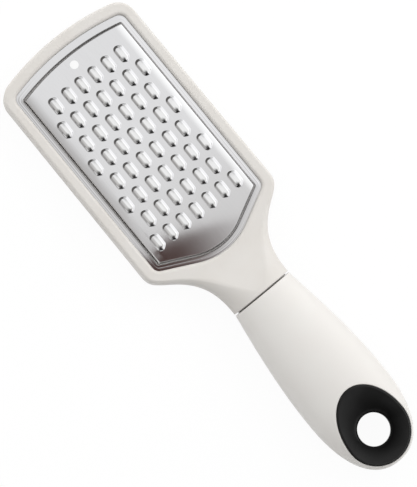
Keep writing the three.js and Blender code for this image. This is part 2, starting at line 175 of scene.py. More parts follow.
# Places read from the construction
HEAD_TOP_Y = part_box("head_frame")[1].y
TANG_END_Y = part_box("head_frame")[0].y
MIDDLE_Z = (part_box("head_frame")[0].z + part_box("head_frame")[1].z) / 2
BACK_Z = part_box("plate_retainer")[0].z
RETAINER_TOP_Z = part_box("plate_retainer")[1].z
HANDLE_TIP_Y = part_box("handle_front")[0].y
HANDLE_TOP_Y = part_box("handle_front")[1].y
TOOTH_TOP_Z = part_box("grater_plate")[1].z

# Places that follow from those and from the sizes
FRONT_Z = 2 * MIDDLE_Z - BACK_Z
LIP_Z = FRONT_Z - LIP_THICKNESS
PLATEAU_Z = TOOTH_TOP_Z - TOOTH_HEIGHT
FLANGE_Z = PLATEAU_Z - PLATE_STEP
WINDOW_HALF = HEAD_WIDTH / 2 - SIDE_RIM
WINDOW_TOP_Y = HEAD_TOP_Y - TOP_RIM
WINDOW_FOOT_Y = WINDOW_TOP_Y - WINDOW_LENGTH
SHOULDER_Y = WINDOW_FOOT_Y + SHOULDER_RISE
NECK_TOP_Y = SHOULDER_Y + SHOULDER_ROUND
NECK_END_Y = HANDLE_TOP_Y + GROOVE
BULGE_Y = HANDLE_TIP_Y + HANDLE_END_LENGTH
EYELET_Y = HANDLE_TIP_Y + EYELET_TIP_WALL + EYELET_END
HOLE_Y = EYELET_Y + HOLE_SHIFT
SPLIT_Y = EYELET_Y + EYELET_NOSE + GRIP_MARGIN
HEAD_HALF_DEPTH = FRONT_Z - MIDDLE_Z
REBATE = FLANGE_OVERLAP + FIT_GAP
SEAM_HEIGHT = HANDLE_SEAM / 2
TOOTH_RADIUS = TOOTH_WIDTH / 2 + TOOTH_SKIRT
TOOTH_REACH = (TOOTH_LENGTH - TOOTH_WIDTH) / 2
PILOT_Y = WINDOW_TOP_Y - FLANGE_TOP_STRIP - PILOT_DROP

# Marks of painted shade: in the sheet's folds and under its lips, down the rubber dish and in the groove
SHADE_ATTRIBUTE = "crease"
LIP_SHADE = 0.75  # painted shade: dark spot above a tooth's lip
LIP_SHADE_PLACE = Vector((-0.45 * MM, -2.4 * MM))
LIP_SHADE_CORE = 0.38 * MM
LIP_SHADE_FADE = 0.65 * MM
DIP_SHADE_RATE = 3  # how soon the painted shade on the sunk sheet is full
RING_SHADE = 0.1  # painted shade: faint dark ring on the right of a tooth's top
RING_TOP_SHADE = 0.3
RING_LEVEL = 0.42  # place of the ring between the middle line and the foot
RING_SPREAD = 0.27
RING_TOP_FROM = 0.9 * MM
RING_TOP_FULL = 2.2 * MM
STEP_SHADE = 0.66  # painted shade along the step's two bends
WALL_SHADE = 0.03  # share of that on the wall between them
FLANGE_SHADE = 0.07
LOW_SHADE_SHARE = 1.9  # the step's painted shade is darkest at the window's foot and stays light along its top
LEFT_SHADE_SHARE = 1.4
SLOPE_SHADE_FROM = 0.06  # share of the window's length where the right side starts to clear
SLOPE_SHADE_FADE = 0.15
TOP_SHADE_SHARE = 0.05
FLANGE_SHADE_END = 0.4  # share of the flange over which its shade fades

# Mesh fineness
TOP_STEPS = 24
CORNER_STEPS = 14
SIDE_STEPS = 44
SLOPE_STEPS = 12
FOOT_STEPS = 14
NECK_STEPS = 26
STRAIGHT_STEPS = 4
EDGE_STEPS = 12
FACET_STEPS = 8
ROUND_STEPS = 5
HANDLE_COLUMNS = 56
HANDLE_ROWS = 60
SPLIT_STEPS = 6
TIP_STEPS = 40
END_ROWS = 26
EYELET_STEPS = 120
DISH_STEPS = 18
TOOTH_SIDE_STEPS = 7
TOOTH_END_STEPS = 13
SLIT_STEPS = 26
TOOTH_SCOOP_STEPS = 12
DIP_STEPS = 4
FLANGE_STEPS = 14
PILOT_STEPS = 28
SHARP_ANGLE = math.radians(42)
END_ROW_POWER = 2  # draws the rows of the handle's end towards its edge

# Finishes
GRAIN_DETAIL = 3
MOTTLE_DETAIL = 2
MOTTLE_RANGE = (0.35, 0.65)
RUBBER_GLOSS = 0.1
ROLLING_STRETCH = (2500, 120, 2500)
ROLLING_DEPTH = 0.0006 * MM
CLOUD_SCALE = 90
STEEL_PALE = (0.75, 0.75, 0.76)
STEEL_DEEP = (0.69, 0.69, 0.7)
STEEL_ROUGHNESS = (0.045, 0.07)
RAISED_HIGHLIGHT = (0.84, 0.84, 0.84)  # painted highlight: raised metal made paler
RAISED_HIGHLIGHT_FROM = 0.45 * MM
RAISED_HIGHLIGHT_FULL = 0.7 * MM
EDGE_REFLECTION = (0.88, 0.885, 0.89)  # painted reflection: the sheet is paler along its right edge
EDGE_REFLECTION_FROM = 4 * MM
EDGE_REFLECTION_FULL = 1.4 * MM
STEEL_SHADE_COLOUR = (0.02, 0.019, 0.018)  # painted shade on the steel, in its folds, under the lips and along the step's bends
GROOVE_SHADE_COLOUR = (0.12, 0.11, 0.1)  # painted shade deep in the groove
DISH_SHADE_COLOUR = (0.003, 0.003, 0.003)  # painted shade deep in the eyelet's dish

# Camera
PICTURE_ROWS = 487
PIXEL = 0.422 * MM  # size of one picture row on the grater
LENS = 200  # lens and sensor in the camera's own millimetres
SENSOR = 36
VIEW_END = 100
VIEW_TILT = math.radians(8)
VIEW_TURN = math.radians(39.4555)
VIEW_TARGET = Vector((-4.03 * MM, 6.94 * MM, MIDDLE_Z))

# Stage, and colours of the cards that the steel reflects
WHITE = (1, 1, 1)
ROOM_FILL = (0.42, 0.42, 0.42)
FLOOR_COLOUR = (0.9, 0.9, 0.9)
FLOOR_WHITE_SHARE = 0.94
STAGE_REACH = 6
CARD_BROWN = (0.085, 0.05, 0.045)
CARD_WARM_GREY = (0.3, 0.25, 0.24)
CARD_GREY = (0.62, 0.61, 0.6)
CARD_FAR_GREY = (0.46, 0.45, 0.44)
CARD_PALE_GREY = (0.8, 0.79, 0.78)
CARD_DARK = (0.13, 0.125, 0.12)
CARD_WHITE = (1.28, 1.28, 1.29)


def spread(start, end, count):
    """Evenly spaced values from start to end, both included."""
    return [start + (end - start) * i / count for i in range(count + 1)]


def mix(a, b, share):
    return a + (b - a) * share


def clamp(value):
    return min(max(value, 0.0), 1.0)


def ease(value):
    """Smooth step from 0 to 1."""
    t = clamp(value)
    return t * t * (3 - 2 * t)


# Outlines in plan


def arc(centre_y, radius, start, end, count):
    """Arc about a centre on the middle line."""
    return [
        Vector((radius * math.cos(turn), centre_y + radius * math.sin(turn)))
        for turn in spread(start, end, count)
    ]


def line(start, end, count):
    return [start.lerp(end, share) for share in spread(0, 1, count)]


def rounded(start, point, end, pull, count):
    """Rounded corner from start to end, drawn towards the corner's point."""
    leave = start.lerp(point, pull)
    arrive = end.lerp(point, pull)
    points = []
    for t in spread(0, 1, count):
        s = 1 - t
        points.append(start * s**3 + leave * (3 * s * s * t) + arrive * (3 * s * t * t) + end * t**3)
    return points


def join(*runs):
    """One run of points from several that meet end to start."""
    points = list(runs[0])
    for run in runs[1:]:
        points.extend(run[1:])
    return points


def both_sides(half):
    """Closed outline from its right half, which starts and ends on the middle line."""
    return half + [Vector((-p.x, p.y)) for p in reversed(half[1:-1])]


def window_side_foot(inset):
    """Height at which the window's sides meet its sloping lower edges."""
    foot_radius = WINDOW_FOOT_RADIUS - inset
    slope_x = foot_radius * math.sin(WINDOW_FOOT_ANGLE)
    slope_y = WINDOW_FOOT_Y + inset + foot_radius * (1 - math.cos(WINDOW_FOOT_ANGLE))
    return slope_y + (WINDOW_HALF - inset - slope_x) * math.tan(WINDOW_FOOT_ANGLE)


def window_half(inset, top_inset, corner_radius):
    """Right half of the window's outline, drawn in, from its top's middle to its foot's middle."""
    half = WINDOW_HALF - inset
    top_radius = WINDOW_TOP_RADIUS - inset
    top_centre = WINDOW_TOP_Y - top_inset - top_radius
    top_angle = math.asin(half / top_radius)
    top_y = top_centre + top_radius * math.cos(top_angle)
    top_turn = corner_radius * math.tan((math.pi / 2 - top_angle) / 2)
    top_arc = top_angle - top_turn / top_radius
    foot_radius = WINDOW_FOOT_RADIUS - inset
    foot_centre = WINDOW_FOOT_Y + inset + foot_radius
    foot_y = window_side_foot(inset)
    foot_turn = corner_radius * math.tan((math.pi / 2 - WINDOW_FOOT_ANGLE) / 2)
    foot_start = Vector((half, foot_y + foot_turn))
    slope = Vector((math.cos(WINDOW_FOOT_ANGLE), math.sin(WINDOW_FOOT_ANGLE)))
    slope_start = Vector((half, foot_y)) - slope * foot_turn
    up = math.pi / 2
    top = arc(top_centre, top_radius, up, up - top_arc, TOP_STEPS)
    side_start = Vector((half, top_y - top_turn))
    top_corner = rounded(top[-1], Vector((half, top_y)), side_start, WINDOW_CORNER_PULL, CORNER_STEPS)
    side = line(side_start, foot_start, SIDE_STEPS)
    foot_corner = rounded(foot_start, Vector((half, foot_y)), slope_start, WINDOW_CORNER_PULL, CORNER_STEPS)
    foot = arc(foot_centre, foot_radius, WINDOW_FOOT_ANGLE - up, -up, FOOT_STEPS)
    return join(top, top_corner, side, foot_corner, line(slope_start, foot[0], SLOPE_STEPS), foot)


def grown_window(grow):
    return window_half(-grow, -grow, WINDOW_CORNER_RADIUS + grow)


def frame_half():
    """Right half of the frame's outline, from the middle of its top to the end of its neck."""
    half = HEAD_WIDTH / 2
    top_centre = HEAD_TOP_Y - HEAD_TOP_RADIUS
    top_angle = math.asin(half / HEAD_TOP_RADIUS)
    corner = Vector((half, top_centre + HEAD_TOP_RADIUS * math.cos(top_angle)))
    corner_turn = HEAD_CORNER_RADIUS * math.tan((math.pi / 2 - top_angle) / 2)
    top_arc = top_angle - corner_turn / HEAD_TOP_RADIUS
    up = math.pi / 2
    shoulder = Vector((half + SHOULDER_FLARE, SHOULDER_Y))
    fall = Vector((-math.cos(SHOULDER_SLOPE), -math.sin(SHOULDER_SLOPE)))
    hollow_start = shoulder + fall * SLOPE_LENGTH
    neck_x = NECK_WIDTH / 2
    neck_corner = Vector((neck_x, shoulder.y - (shoulder.x - neck_x) * math.tan(SHOULDER_SLOPE)))
    neck_start = Vector((neck_x, NECK_END_Y + NECK_STRAIGHT))
    neck_end = Vector((neck_x, NECK_END_Y + END_ROUND))
    side_start = Vector((half, corner.y - corner_turn))
    side_end = Vector((shoulder.x, NECK_TOP_Y))
    hollow_steps = SLOPE_STEPS + FOOT_STEPS + NECK_STEPS - STRAIGHT_STEPS
    top = arc(top_centre, HEAD_TOP_RADIUS, up, up - top_arc, TOP_STEPS)
    return join(
        top,
        rounded(top[-1], corner, side_start, HEAD_CORNER_PULL, CORNER_STEPS),
        line(side_start, side_end, SIDE_STEPS),
        rounded(side_end, shoulder, hollow_start, SHOULDER_PULL, CORNER_STEPS),
        rounded(hollow_start, neck_corner, neck_start, NECK_PULL, hollow_steps),
        line(neck_start, neck_end, STRAIGHT_STEPS),
    )


# Mesh making


def skin(bm, rows, closed=False, shades=None):
    """Faces over rows of points with equal counts, which may carry a shade at every point."""
    grid = [[bm.verts.new(point) for point in row] for row in rows]
    count = len(grid[0])
    if shades:
        layer = bm.verts.layers.float[SHADE_ATTRIBUTE]
        for here, marks in zip(grid, shades):
            for vert, mark in zip(here, marks):
                vert[layer] = mark
    for here, there in zip(grid, grid[1:]):
        for i in range(count if closed else count - 1):
            n = (i + 1) % count
            bm.faces.new((here[i], here[n], there[n], there[i]))


def weld(bm):
    bmesh.ops.remove_doubles(bm, verts=bm.verts[:], dist=WELD)
    bmesh.ops.recalc_face_normals(bm, faces=bm.faces[:])


def extend(bm, rim, place):
    """Carries an open rim on to new places and returns the new rim."""
    grown = bmesh.ops.extrude_edge_only(bm, edges=rim)["geom"]
    for part in grown:
        if isinstance(part, bmesh.types.BMVert):
            part.co = place(part.co)
    return [part for part in grown if isinstance(part, bmesh.types.BMEdge) and part.is_boundary]


def add_object(name, data):
    thing = bpy.data.objects.new(name, data)
    bpy.context.scene.collection.objects.link(thing)
    return thing


def add_piece(name, bm, node, material):
    """Object of a finished mesh, which stands for a piece of the construction."""
    mesh = bpy.data.meshes.new(name)
    bm.to_mesh(mesh)
    bm.free()
    mesh.shade_smooth()
    mesh.set_sharp_from_angle(angle=SHARP_ANGLE)
    mesh.materials.append(material)
    piece = add_object(name, mesh)
    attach(piece, "root")
    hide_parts(node)
    return piece


# Moulded frame


def head_half_depth(y):
    """Half thickness of the frame, which swells along the neck."""
    share = (WINDOW_FOOT_Y - y) / (WINDOW_FOOT_Y - NECK_END_Y)
    return mix(HEAD_HALF_DEPTH, NECK_THICKNESS / 2, ease(share))


def edge_profile(crease):
    """Shares of inset and rise over the rounded edge, from the side to the flat."""
    end = math.pi / 2 - crease
    shares = []
    for turn in spread(0, end, EDGE_STEPS):
        inset = (1 - math.cos(turn)) / (1 - math.cos(end))
        shares.append((inset, math.sin(turn) / math.sin(end)))
    return shares


def frame_rows(facing, path):
    """Rows of the frame's front or back, from its side to an inner path, at every place of its outline."""
    outline = frame_half()
    rows = []
    for i, point in enumerate(outline):
        before = outline[i - 1] if i else Vector((-outline[1].x, outline[1].y))
        after = outline[min(i + 1, len(outline) - 1)]
        along = (after - before).normalized()
        neck_share = clamp((NECK_TOP_Y - point.y) / (NECK_TOP_Y - NECK_END_Y))
        turned = ease(neck_share)
        outward = Vector((-along.y, along.x)).lerp(Vector((1, 0)), turned).normalized()
        edge_width = mix(EDGE_ROUND, (NECK_WIDTH - FACET_END_WIDTH) / 2, neck_share**FACET_TAPER)
        edge_depth = mix(EDGE_ROUND, head_half_depth(point.y), turned)
        crease = NECK_CREASE * math.sin(math.pi * neck_share)
        row = []
        for inset, rise in edge_profile(crease):
            plan = point - outward * (edge_width * inset)
            height = head_half_depth(plan.y) - edge_depth * (1 - rise)
            row.append(Vector((plan.x, plan.y, MIDDLE_Z + facing * height)))
        flat_start = Vector((row[-1].x, row[-1].y))
        for share in spread(0, 1, FACET_STEPS)[1:]:
            plan = flat_start.lerp(path[i], share)
            row.append(Vector((plan.x, plan.y, MIDDLE_Z + facing * head_half_depth(plan.y))))
        rows.append(row)
    return rows


def inner_path(grow):
    """Window's half outline, carried on down the middle of the neck."""
    window = grown_window(grow)
    neck_end = Vector((0, NECK_END_Y + END_ROUND))
    return join(window, line(window[-1], neck_end, NECK_STEPS))


def at_height(outline, z):
    return [Vector((p.x, p.y, z)) for p in outline]


def scaled_ring(scale_x, scale_z, y):
    """Place that draws a ring in about the grater's middle."""

    def place(point):
        return Vector((point.x * scale_x, y, MIDDLE_Z + (point.z - MIDDLE_Z) * scale_z))

    return place


def tang_ring(y):
    """Place that turns the core's ellipse into the tang's section."""

    def squared(share, half):
        return math.copysign(abs(share) ** TANG_SQUARENESS, share) * half

    def place(point):
        x = squared(point.x / (CORE_WIDTH / 2), TANG_WIDTH / 2)
        z = squared((point.z - MIDDLE_Z) / (CORE_THICKNESS / 2), TANG_THICKNESS / 2)
        return Vector((x, y, MIDDLE_Z + z))

    return place


def extend_to_neck(bm, rim, inset, y):
    """Next ring of the rounding at the neck's end."""
    widest = max(abs(v.co.x) for edge in rim for v in edge.verts)
    thickest = max(abs(v.co.z - MIDDLE_Z) for edge in rim for v in edge.verts)
    width = (NECK_WIDTH - inset) / 2
    thickness = (NECK_THICKNESS - inset) / 2
    return extend(bm, rim, scaled_ring(width / widest, thickness / thickest, y))


def moulded_frame(material):
    bm = bmesh.new()
    front_path = inner_path(LIP_ROUND)
    back_path = inner_path(REBATE + RETAINER_CHAMFER)
    front = frame_rows(1, front_path)
    back = frame_rows(-1, back_path)
    skin(bm, front)
    skin(bm, back)
    skin(bm, [[row[0] for row in front], [row[0] for row in back]])
    window_count = len(grown_window(0))
    lip = [at_height(grown_window(LIP_ROUND), FRONT_Z)]
    for turn in spread(0, math.pi / 2, ROUND_STEPS)[1:]:
        grow = LIP_ROUND * (1 - math.sin(turn))
        lip.append(at_height(grown_window(grow), FRONT_Z - LIP_ROUND * (1 - math.cos(turn))))
    lip.append(at_height(grown_window(0), LIP_Z))
    lip.append(at_height(grown_window(REBATE), LIP_Z))
    lip.append(at_height(grown_window(REBATE), BACK_Z + RETAINER_CHAMFER))
    lip.append([row[-1] for row in back][:window_count])
    skin(bm, lip)
    everything = bm.verts[:] + bm.edges[:] + bm.faces[:]
    bmesh.ops.mirror(bm, geom=everything, axis="X", merge_dist=WELD)
    weld(bm)
    rim = [edge for edge in bm.edges if edge.is_boundary]
    for turn in spread(0, math.pi / 2, ROUND_STEPS)[1:]:
        inset = 2 * END_ROUND * (1 - math.cos(turn))
        y = NECK_END_Y + END_ROUND * (1 - math.sin(turn))
        rim = extend_to_neck(bm, rim, inset, y)
    end_width = NECK_WIDTH - 2 * END_ROUND
    end_thickness = NECK_THICKNESS - 2 * END_ROUND
    core_end_y = HANDLE_TOP_Y + FIT_GAP
    to_core = scaled_ring(CORE_WIDTH / end_width, CORE_THICKNESS / end_thickness, NECK_END_Y)
    core_end = scaled_ring(1, 1, core_end_y)
    tang_end = scaled_ring(1, 1, TANG_END_Y)
    for place in (to_core, core_end, tang_ring(core_end_y), tang_end):
        rim = extend(bm, rim, place)
    bmesh.ops.edgeloop_fill(bm, edges=rim)
    weld(bm)
    # Painted shade in the groove: the neck's end and the core beyond it are marked dark
    shade = bm.verts.layers.float.new(SHADE_ATTRIBUTE)
    for vert in bm.verts:
        vert[shade] = clamp((NECK_END_Y - vert.co.y) / END_ROUND)
    return add_piece("moulded_frame", bm, "head_frame", material)


# Ring behind the plate


def retainer_ring(material):
    outer = FLANGE_OVERLAP
    inner = FLANGE_OVERLAP - RETAINER_WIDTH
    cut = RETAINER_CHAMFER
    section = [
        (outer - cut, BACK_Z),
        (outer, BACK_Z + cut),
        (outer, RETAINER_TOP_Z - cut),
        (outer - cut, RETAINER_TOP_Z),
        (inner + cut, RETAINER_TOP_Z),
        (inner, RETAINER_TOP_Z - cut),
        (inner, BACK_Z + cut),
        (inner + cut, BACK_Z),
    ]
    rows = [at_height(both_sides(grown_window(grow)), z) for grow, z in section]
    bm = bmesh.new()
    skin(bm, rows + rows[:1], closed=True)
    weld(bm)
    return add_piece("retainer_ring", bm, "plate_retainer", material)


# Toothed plate


def tooth_centres():
    """Centres of the staggered teeth, as many as the raised centre holds."""
    reach = WINDOW_HALF - FLANGE_STRIP - TOOTH_MARGIN - TOOTH_WIDTH / 2
    y = WINDOW_TOP_Y - FLANGE_TOP_STRIP - FIRST_ROW_DROP
    last = window_side_foot(FLANGE_STRIP) + TOOTH_MARGIN + TOOTH_LENGTH / 2
    centres = []
    row = 0
    while y >= last:
        x = 0 if row % 2 else TOOTH_PITCH_ACROSS / 2
        while x <= reach:
            centres.append(Vector((x, y)))
            if x > 0:
                centres.append(Vector((-x, y)))
            x += TOOTH_PITCH_ACROSS
        y -= TOOTH_PITCH_ALONG
        row += 1
    return centres


def tooth_spokes():
    """Spokes of one tooth, each as its start on the middle line and its direction, all the way round."""
    sides = spread(TOOTH_REACH, -TOOTH_REACH, TOOTH_SIDE_STEPS)[1:-1]
    spokes = [(Vector((0, TOOTH_REACH)), turn) for turn in spread(math.pi, 0, TOOTH_END_STEPS)]
    spokes += [(Vector((0, y)), 0) for y in sides]
    spokes += [(Vector((0, -TOOTH_REACH)), turn) for turn in spread(0, -math.pi, SLIT_STEPS)]
    spokes += [(Vector((0, y)), -math.pi) for y in reversed(sides)]
    return spokes


def slit_share(start, turn):
    """How open the slit is at a spoke, from 0 at its corners to 1 at its middle."""
    if start.y >= 0:
        return 0
    along = (turn + math.pi / 2 + SLIT_TURN) / SLIT_SPAN + 0.5
    return math.sin(math.pi * clamp(along))


def spoke_point(spoke, radius):
    start, turn = spoke
    return start + Vector((math.cos(turn), math.sin(turn))) * radius


def tooth_lean(spoke):
    """Share of a spoke that points to the tooth's wider side."""
    start, turn = spoke
    widest = mix(TOOTH_LEAN_TURN, LOWER_LEAN_TURN, ease((TOOTH_REACH - start.y) / (2 * TOOTH_REACH)))
    return max(math.cos(turn - widest), 0) ** LEAN_POWER


def tooth_radius(spoke):
    return TOOTH_RADIUS + TOOTH_LEAN * tooth_lean(spoke)


def scoop_height(spoke, radius):
    """Height of the scoop above the sheet at a distance from the tooth's middle line."""
    start, turn = spoke
    opened = slit_share(start, turn)
    outer = tooth_radius(spoke) - SLIT_WIDTH * opened
    side_flank = mix(TOOTH_FLANK, TOOTH_RIGHT_FLANK, tooth_lean(spoke))
    upper_flank = mix(side_flank, TOOTH_TOP_FLANK, max(math.sin(turn), 0) ** 2)
    flank = mix(upper_flank, TOOTH_LIP_FLANK, opened)
    climb = ease((outer - LIP_LEDGE * opened - radius) / flank)
    downward = clamp((TOOTH_REACH - spoke_point(spoke, radius).y) / (2 * TOOTH_REACH))
    rise = mix(TOOTH_TOP_RISE, TOOTH_LIP_RISE, downward)
    return mix(LIP_HEIGHT * opened, rise, climb) + TOOTH_BULGE * (1 - (radius / outer) ** 2)


def scoop_rows():
    """Rows of one scoop, from its foot and its lip up to its middle line."""
    rows = []
    for level in spread(1, 0, TOOTH_SCOOP_STEPS):
        row = []
        for spoke in tooth_spokes():
            radius = (tooth_radius(spoke) - SLIT_WIDTH * slit_share(*spoke)) * level
            plan = spoke_point(spoke, radius)
            row.append(Vector((plan.x, plan.y, scoop_height(spoke, radius))))
        rows.append(row)
    return rows


def lower_spokes():
    """Spokes round a tooth's lower end."""
    return [spoke for spoke in tooth_spokes() if abs(spoke[0].y + TOOTH_REACH) < WELD]


def dipped_rows():
    """Rows of the sheet that sinks below the lip, from the edge of the slit on."""
    rows = []
    for share in spread(0, 1, DIP_STEPS):
        row = []
        for spoke in lower_spokes():
            opened = slit_share(*spoke)
            radius = tooth_radius(spoke) - (SLIT_WIDTH + DIP_REACH) * opened * share
            plan = spoke_point(spoke, radius)
            row.append(Vector((plan.x, plan.y, -TOOTH_DIP * opened * share * (2 - share))))
        rows.append(row)
    return rows


def dipped_shades():
    """Painted shade of the sunk sheet, which is dark under the lip."""
    shades = []
    for share in spread(0, 1, DIP_STEPS):
        depth = ease(DIP_SHADE_RATE * share)
        shades.append([ease(DIP_SHADE_RATE * slit_share(*spoke)) * depth for spoke in lower_spokes()])
    return shades


def scoop_shades(rows):
    """Painted shade on the scoop: a dark spot just above its lip and a faint dark ring on its right."""
    spokes = tooth_spokes()
    shades = []
    for level, row in zip(spread(1, 0, TOOTH_SCOOP_STEPS), rows):
        ring = 1 - ease(abs(level - RING_LEVEL) / RING_SPREAD)
        marks = []
        for spoke, point in zip(spokes, row):
            span = (point.xy - LIP_SHADE_PLACE).length
            spot = LIP_SHADE * (1 - ease((span - LIP_SHADE_CORE) / LIP_SHADE_FADE))
            upper = ease((point.y - RING_TOP_FROM) / (RING_TOP_FULL - RING_TOP_FROM))
            right = max(math.cos(spoke[1]), 0) * ring * mix(RING_SHADE, RING_TOP_SHADE, upper)
            marks.append(max(spot, right))
        shades.append(marks)
    return shades


def tooth_outline():
    """Closed outline of a tooth's foot."""
    return [spoke_point(spoke, tooth_radius(spoke)) for spoke in tooth_spokes()]


def step_profile():
    """Plan offsets and heights over the step, from the raised centre down to the flange."""
    fall = 1 - math.cos(STEP_ANGLE)
    drop = PLATE_STEP - FLANGE_FALL
    straight = (drop - (STEP_TOP_ROUND + STEP_FOOT_ROUND) * fall) / math.sin(STEP_ANGLE)
    rows = []
    for turn in spread(0, STEP_ANGLE, ROUND_STEPS):
        rows.append((STEP_TOP_ROUND * math.sin(turn), PLATEAU_Z - STEP_TOP_ROUND * (1 - math.cos(turn))))
    foot = (STEP_TOP_ROUND + STEP_FOOT_ROUND) * math.sin(STEP_ANGLE) + straight * math.cos(STEP_ANGLE)
    foot_z = FLANGE_Z + FLANGE_FALL
    for turn in spread(STEP_ANGLE, 0, ROUND_STEPS):
        rise = STEP_FOOT_ROUND * (1 - math.cos(turn))
        rows.append((foot - STEP_FOOT_ROUND * math.sin(turn), foot_z + rise))
    return [(offset - foot / 2, z) for offset, z in rows]


def step_shades():
    """Painted shade over the step, in the order of its profile."""
    shares = spread(0, 1, ROUND_STEPS)
    top = [STEP_SHADE * max(math.sin(math.pi * share) ** 2, WALL_SHADE * share) for share in shares]
    foot = [STEP_SHADE * max(math.sin(math.pi * share) ** 2, WALL_SHADE * (1 - share)) for share in shares]
    return top + [max(mark, FLANGE_SHADE) for mark in foot]


def flange_height(share):
    """Height of the flange, from the foot of the step out to the window's edge."""
    ridges = FLANGE_RIPPLE * math.sin(2 * math.pi * FLANGE_RIDGES * share)
    return FLANGE_Z + FLANGE_FALL * (1 - share) + ridges * math.sin(math.pi * share)


def plateau_half(offset):
    """Outline of the raised centre, moved out by an offset."""
    corner = PLATE_CORNER_RADIUS + max(offset, 0)
    return window_half(FLANGE_STRIP - offset, FLANGE_TOP_STRIP - offset, corner)


def step_strength(point, at_top):
    """Strength of the step's shade: both bends low on the right, only the lower bend on the left."""
    climb = clamp((point.y - WINDOW_FOOT_Y) / WINDOW_LENGTH)
    left = mix(LEFT_SHADE_SHARE, TOP_SHADE_SHARE, climb)
    right = mix(LOW_SHADE_SHARE, TOP_SHADE_SHARE, ease((climb - SLOPE_SHADE_FROM) / SLOPE_SHADE_FADE))
    rightness = ease((point.x / WINDOW_HALF + 1) / 2)
    return right * rightness if at_top else mix(left, right, rightness)


def step_and_flange(bm):
    profile = step_profile()
    rows = [at_height(both_sides(plateau_half(offset)), z) for offset, z in profile]
    shades = step_shades()
    foot = profile[-1][0]
    for share in spread(0, 1, FLANGE_STEPS)[1:]:
        inset = mix(FLANGE_STRIP - foot, 0, share)
        top_inset = mix(FLANGE_TOP_STRIP - foot, 0, share)
        corner = mix(PLATE_CORNER_RADIUS + foot, WINDOW_CORNER_RADIUS, share)
        rows.append(at_height(both_sides(window_half(inset, top_inset, corner)), flange_height(share)))
        shades.append(FLANGE_SHADE * (1 - ease(share / FLANGE_SHADE_END)))
    rows.append(at_height(both_sides(grown_window(FLANGE_OVERLAP)), FLANGE_Z))
    shades.append(0)
    marks = []
    for number, row in enumerate(rows):
        marks.append([shades[number] * step_strength(point, number <= ROUND_STEPS) for point in row])
    skin(bm, rows, closed=True, shades=marks)


def pilot_outline(grow):
    ring = arc(PILOT_Y, PILOT_DIAMETER / 2 + grow, 0, 2 * math.pi, PILOT_STEPS)[:-1]
    return [point + Vector((PILOT_SIDE, 0)) for point in ring]


def outset(outline, distance):
    """Closed outline moved out along its own normals."""
    grown = []
    for i, point in enumerate(outline):
        along = outline[(i + 1) % len(outline)] - outline[i - 1]
        grown.append(point + Vector((-along.y, along.x)).normalized() * distance)
    return grown


def inside(point, outline):
    """Whether a plan point lies inside a closed outline."""
    crossings = 0
    for a, b in zip(outline, outline[1:] + outline[:1]):
        if (a.y > point.y) != (b.y > point.y):
            if point.x < a.x + (point.y - a.y) / (b.y - a.y) * (b.x - a.x):
                crossings += 1
    return crossings % 2 == 1


def near_tooth(point, centres, margin):
    """Whether a plan point lies within a margin of a tooth."""
    for centre in centres:
        offset = point - centre
        beyond = max(abs(offset.y) - TOOTH_REACH, 0)
        if math.hypot(offset.x, beyond) < TOOTH_WIDTH / 2 + margin:
            return True
    return False


def on_tooth(point, centres, outline):
    """Whether a plan point lies on a tooth."""
    for centre in centres:
        offset = point - centre
        if offset.length < TOOTH_LENGTH and inside(offset, outline):
            return True
    return False


def fill_plateau(bm, centres):
    """Flat sheet between the step, the teeth and the pilot hole."""
    edge = step_profile()[0][0]
    border = both_sides(plateau_half(edge))
    pilot_centre = Vector((PILOT_SIDE, PILOT_Y))
    tooth = tooth_outline()
    loops = [border, both_sides(plateau_half(edge - FLAT_RING)), pilot_outline(0), pilot_outline(FLAT_RING)]
    for centre in centres:
        loops.append([centre + p for p in tooth])
        loops.append([centre + p for p in outset(tooth, FLAT_RING)])
    points = []
    edges = []
    for loop in loops:
        first = len(points)
        points.extend(loop)
        edges.extend((first + i, first + (i + 1) % len(loop)) for i in range(len(loop)))
    columns = int(WINDOW_HALF / FILL_SPACING)
    rows = int(WINDOW_LENGTH / FILL_SPACING)
    for i in range(-columns, columns + 1):
        for j in range(rows + 1):
            point = Vector((i * FILL_SPACING, WINDOW_FOOT_Y + j * FILL_SPACING))
            clear_of_pilot = (point - pilot_centre).length > PILOT_DIAMETER / 2 + FILL_CLEARANCE
            clear_of_teeth = not near_tooth(point, centres, TOOTH_SKIRT + TOOTH_LEAN + FILL_CLEARANCE)
            if clear_of_pilot and clear_of_teeth and inside(point, border):
                points.append(point)
    places, _, faces, *_ = delaunay_2d_cdt(points, edges, [], 1, FILL_TOLERANCE)
    verts = [bm.verts.new((p.x, p.y, PLATEAU_Z)) for p in places]
    for face in faces:
        middle = sum((places[i] for i in face), Vector((0, 0))) / len(face)
        on_pilot = (middle - pilot_centre).length < PILOT_DIAMETER / 2
        if inside(middle, border) and not on_pilot and not on_tooth(middle, centres, tooth):
            bm.faces.new([verts[i] for i in face])


def crown(bm):
    """Lifts the middle of the raised centre a little and rolls its edges down."""
    half = WINDOW_HALF - FLANGE_STRIP
    middle_y = (WINDOW_TOP_Y + WINDOW_FOOT_Y) / 2
    for vert in bm.verts:
        across = clamp(1 - (vert.co.x / half) ** 2)
        along = clamp(1 - ((vert.co.y - middle_y) / (WINDOW_LENGTH / 2)) ** 2)
        climb = clamp((vert.co.z - FLANGE_Z) / PLATE_STEP)
        rolled = clamp((abs(vert.co.x) - half + EDGE_ROLL_WIDTH) / EDGE_ROLL_WIDTH)
        vert.co.z += (PLATE_CROWN * across * along - EDGE_ROLL * rolled**2) * climb


